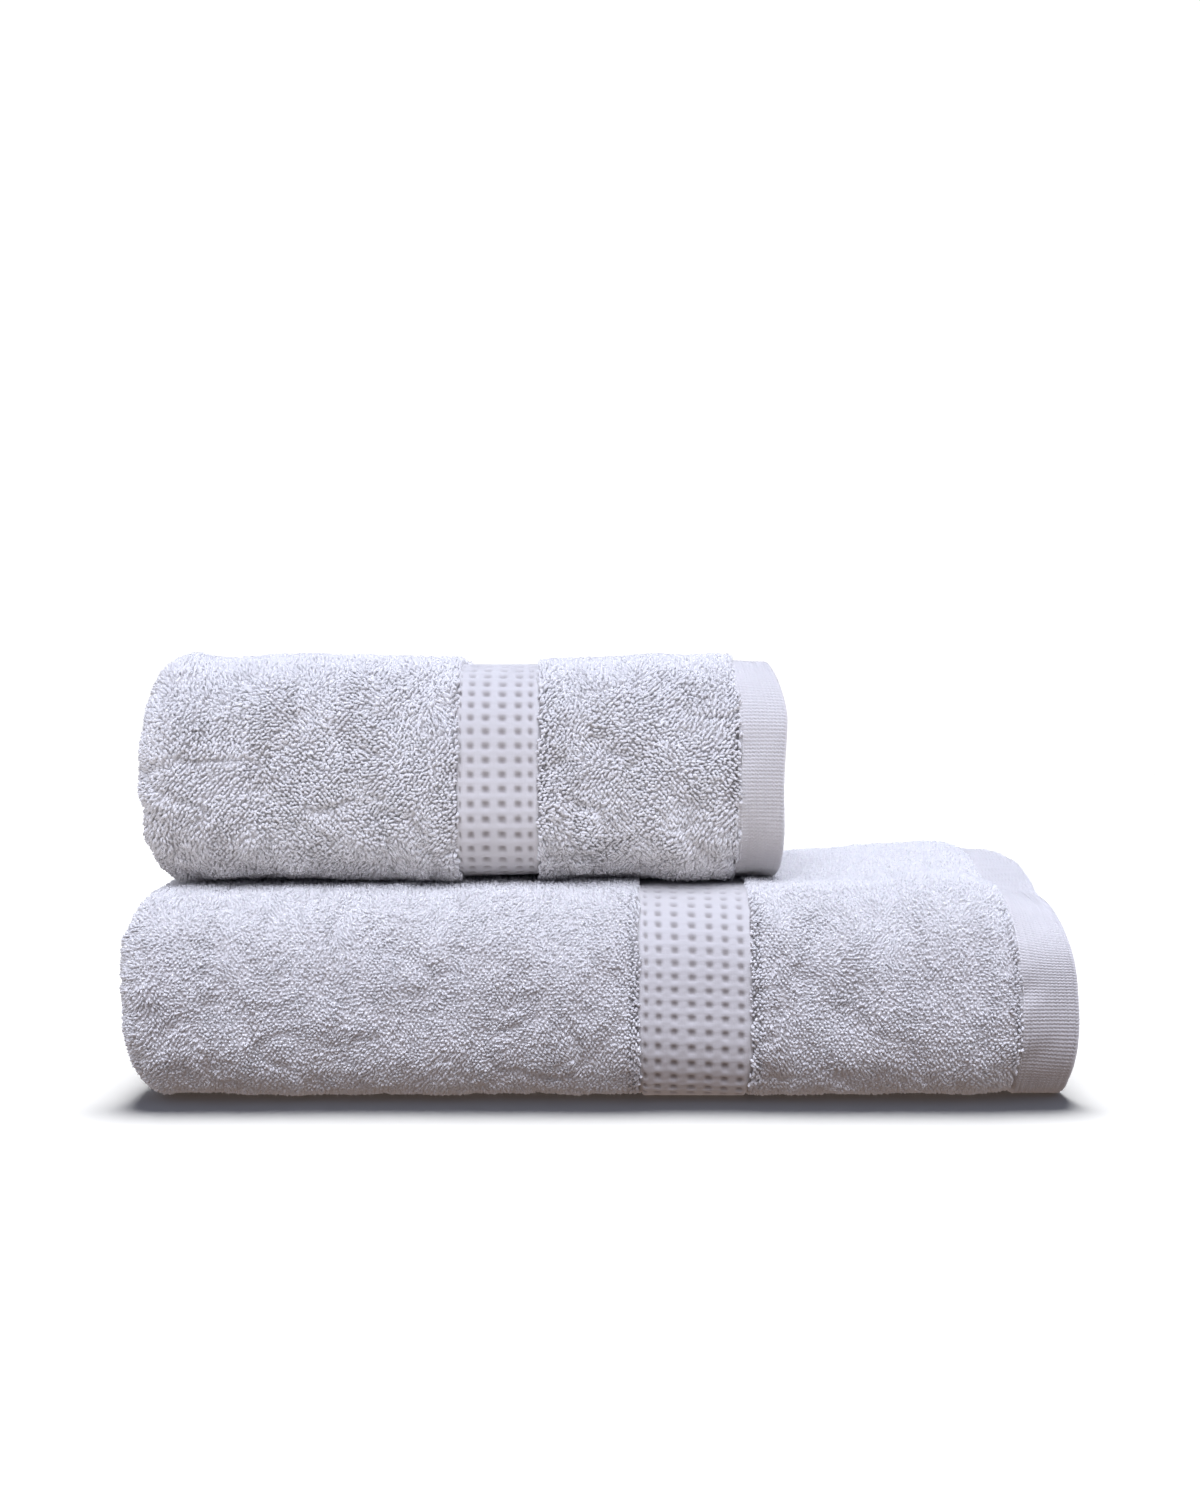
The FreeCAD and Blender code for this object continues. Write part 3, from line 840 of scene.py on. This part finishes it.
# each column of dimples: its centre and half its width, as shares of the band's width
COLUMNS = {
    "bath_towel": [
        (0.054, 0.022), (0.17, 0.036), (0.3125, 0.042), (0.47, 0.046),
        (0.625, 0.042), (0.768, 0.040), (0.907, 0.036),
    ],
    "hand_towel": [
        (0.03, 0.014), (0.16, 0.055), (0.348, 0.064), (0.552, 0.066), (0.752, 0.058), (0.905, 0.040),
    ],
}
ROW_SLOPE = {"bath_towel": 0.04, "hand_towel": 0.0}  # of the dimples' rows against the band


def attach(obj, towel):
    """Lets a bath towel piece ride on the bath towel; a hand towel piece only has its placing baked into
    its points.
    """
    if towel is bath:
        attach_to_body(obj, "bath_towel")
    else:
        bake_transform(obj)


def leaves(towel, part):
    """The CAD nodes of one zone of the cloth, in each leaf that has one."""
    nodes = [f"{towel.name}_{leaf}_{part}" for leaf in ("bottom_leaf", "tucked_leaf", "top_leaf")]
    return [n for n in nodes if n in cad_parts]


for towel in (bath, hand):
    sheet = cloth(towel)
    sheet.data.materials.append(GROUND_WITH_PAINTED_SHADE)
    for obj, leaf in pile(towel):
        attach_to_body(obj, BODIES[towel.name][leaf])
    band = border(towel, f"{towel.name}_border_band", COLUMNS[towel.name], ROW_SLOPE[towel.name])
    hems = [
        hem(towel, f"{towel.name}_end_hem", False),
        hem(towel, f"{towel.name}_second_end_hem", True),
    ]
    rows = [
        stitches(towel, f"{towel.name}_hem_stitches", False),
        stitches(towel, f"{towel.name}_second_hem_stitches", True),
    ]
    sides = [
        side_hem(towel, f"{towel.name}_free_side_hem", True),
        side_hem(towel, f"{towel.name}_tucked_side_hem", False),
    ]
    slots = [(sheet, "terry_pile"), (band, "waffle_band")]
    slots += [(o, "flat_hem") for o in hems + sides]
    slots += [(o, "sewing_thread") for o in rows]
    for obj, slot in slots:
        attach(obj, towel)
    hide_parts(*leaves(towel, "terry_field"), *leaves(towel, "end_strip"),
                *leaves(towel, "inner_plies"))
    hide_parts(*leaves(towel, "border_band"))
    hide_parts(*leaves(towel, "end_hem"))
    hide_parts(*leaves(towel, "hem_stitching"))
    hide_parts(f"{towel.name}_top_leaf_side_hem")

# ---------------------------------------------------------------- floor, light and camera

FLOOR_REACH = 14  # metres from the middle to each edge
BACKDROP_RADIUS = 12.0
EYE_DISTANCE = 0.88  # metres in front of the stack
EYE_HEIGHT = 0.132


def make_floor(level):
    """The plain floor at the given level."""
    far = FLOOR_REACH
    floor = make_mesh("floor", [(-far, -far, 0), (far, -far, 0), (far, far, 0), (-far, far, 0)],
                      [[0, 1, 2, 3]], False)
    floor.location.z = level
    floor.data.materials.append(material("floor", (0.3, 0.3, 0.3), 0.9, 0.0))
    return floor


def make_backdrop():
    """A white sphere round everything. In the end only the camera sees its light."""
    bpy.ops.mesh.primitive_uv_sphere_add(radius=BACKDROP_RADIUS, segments=48, ring_count=24)
    backdrop = bpy.context.object
    backdrop.name = "backdrop"
    glow = bpy.data.materials.new("backdrop")
    glow.use_nodes = True
    nodes, links = glow.node_tree.nodes, glow.node_tree.links
    nodes.remove(nodes["Principled BSDF"])
    emission = nodes.new("ShaderNodeEmission")
    emission.inputs["Strength"].default_value = 1.1
    links.new(emission.outputs["Emission"], nodes["Material Output"].inputs["Surface"])
    backdrop.data.materials.append(glow)
    backdrop.visible_shadow = False
    backdrop.visible_transmission = False
    return backdrop


def make_world():
    """Weak light from all round: cool from above, and warm and weaker from below."""
    world = bpy.data.worlds.new("studio")
    bpy.context.scene.world = world
    world.use_nodes = True
    nodes, links = world.node_tree.nodes, world.node_tree.links
    coords = nodes.new("ShaderNodeTexCoord")
    parts = nodes.new("ShaderNodeSeparateXYZ")
    fade = nodes.new("ShaderNodeMapRange")
    fade.interpolation_type = "SMOOTHSTEP"
    fade.inputs["From Min"].default_value = -0.35
    fade.inputs["From Max"].default_value = 0.15
    sky = nodes.new("ShaderNodeMix")
    sky.data_type = "RGBA"
    sky.inputs["A"].default_value = (0.215, 0.16, 0.135, 1)
    sky.inputs["B"].default_value = (0.35, 0.37, 0.47, 1)
    links.new(coords.outputs["Generated"], parts.inputs["Vector"])
    links.new(parts.outputs["Z"], fade.inputs["Value"])
    links.new(fade.outputs["Result"], sky.inputs["Factor"])
    links.new(sky.outputs["Result"], nodes["Background"].inputs["Color"])


low = cad_box[0]
floor = make_floor(low[2] - 0.2 * MM)
backdrop = make_backdrop()
for stage in (floor, backdrop):
    stage.visible_diffuse = False
    stage.visible_glossy = False
make_world()


def far_light(name, energy, color, spread_degrees, from_above, turn, receivers, blockers):
    """A soft light from far off, which lights some things only and is shaded by some only.

    It comes from straight above, tilted by from_above degrees towards the front, and then turned.
    """
    light = bpy.data.lights.new(name, "SUN")
    light.energy = energy
    light.color = color
    light.angle = math.radians(spread_degrees)
    obj = bpy.data.objects.new(name, light)
    obj.rotation_euler = (math.radians(from_above), 0, math.radians(turn))
    bpy.context.scene.collection.objects.link(obj)
    lit = bpy.data.collections.new(f"lit_by_{name}")
    shading = bpy.data.collections.new(f"shading_{name}")
    for group, things in ((lit, receivers), (shading, blockers)):
        for thing in things:
            group.objects.link(thing)
    obj.light_linking.receiver_collection = lit
    obj.light_linking.blocker_collection = shading


meshes = [o for o in bpy.context.scene.objects if o.type == "MESH"]
towel_pieces = [o for o in meshes if o not in (floor, backdrop)]
hand_pieces = [o for o in towel_pieces if o.name.startswith("hand_towel")]
bath_pieces = [o for o in towel_pieces if o.name.startswith("bath_towel")]
SIDE_WHITE = (0.92, 0.94, 1.0)
far_light("front_key", 2.88, (0.82, 0.85, 1.0), 45, 36, 0, towel_pieces, towel_pieces)
far_light("bounce_fill", 0.95, (0.90, 0.92, 1.0), 50, 145, 0, hand_pieces, towel_pieces)
far_light("back_fill", 1.2, SIDE_WHITE, 50, 86, 180, towel_pieces, towel_pieces)
far_light("right_fill", 0.9, SIDE_WHITE, 50, 86, 105, towel_pieces, towel_pieces)
far_light("left_fill", 0.9, SIDE_WHITE, 50, 86, -105, towel_pieces, towel_pieces)
far_light("floor_wash", 11.8, (1.0, 1.0, 1.0), 34, -28, 0, [floor], bath_pieces)

camera = bpy.data.cameras.new("camera")
camera.sensor_fit = "AUTO"
camera.sensor_width = 36.0
camera.lens = 56.93
camera.clip_start = 0.01
camera.clip_end = 100.0
eye = bpy.data.objects.new("camera", camera)
eye.location = (0.0, low[1] - EYE_DISTANCE, EYE_HEIGHT)
eye.rotation_euler = (math.radians(90), 0, 0)
bpy.context.scene.collection.objects.link(eye)
bpy.context.scene.camera = eye
bpy.context.scene.view_settings.view_transform = "Standard"
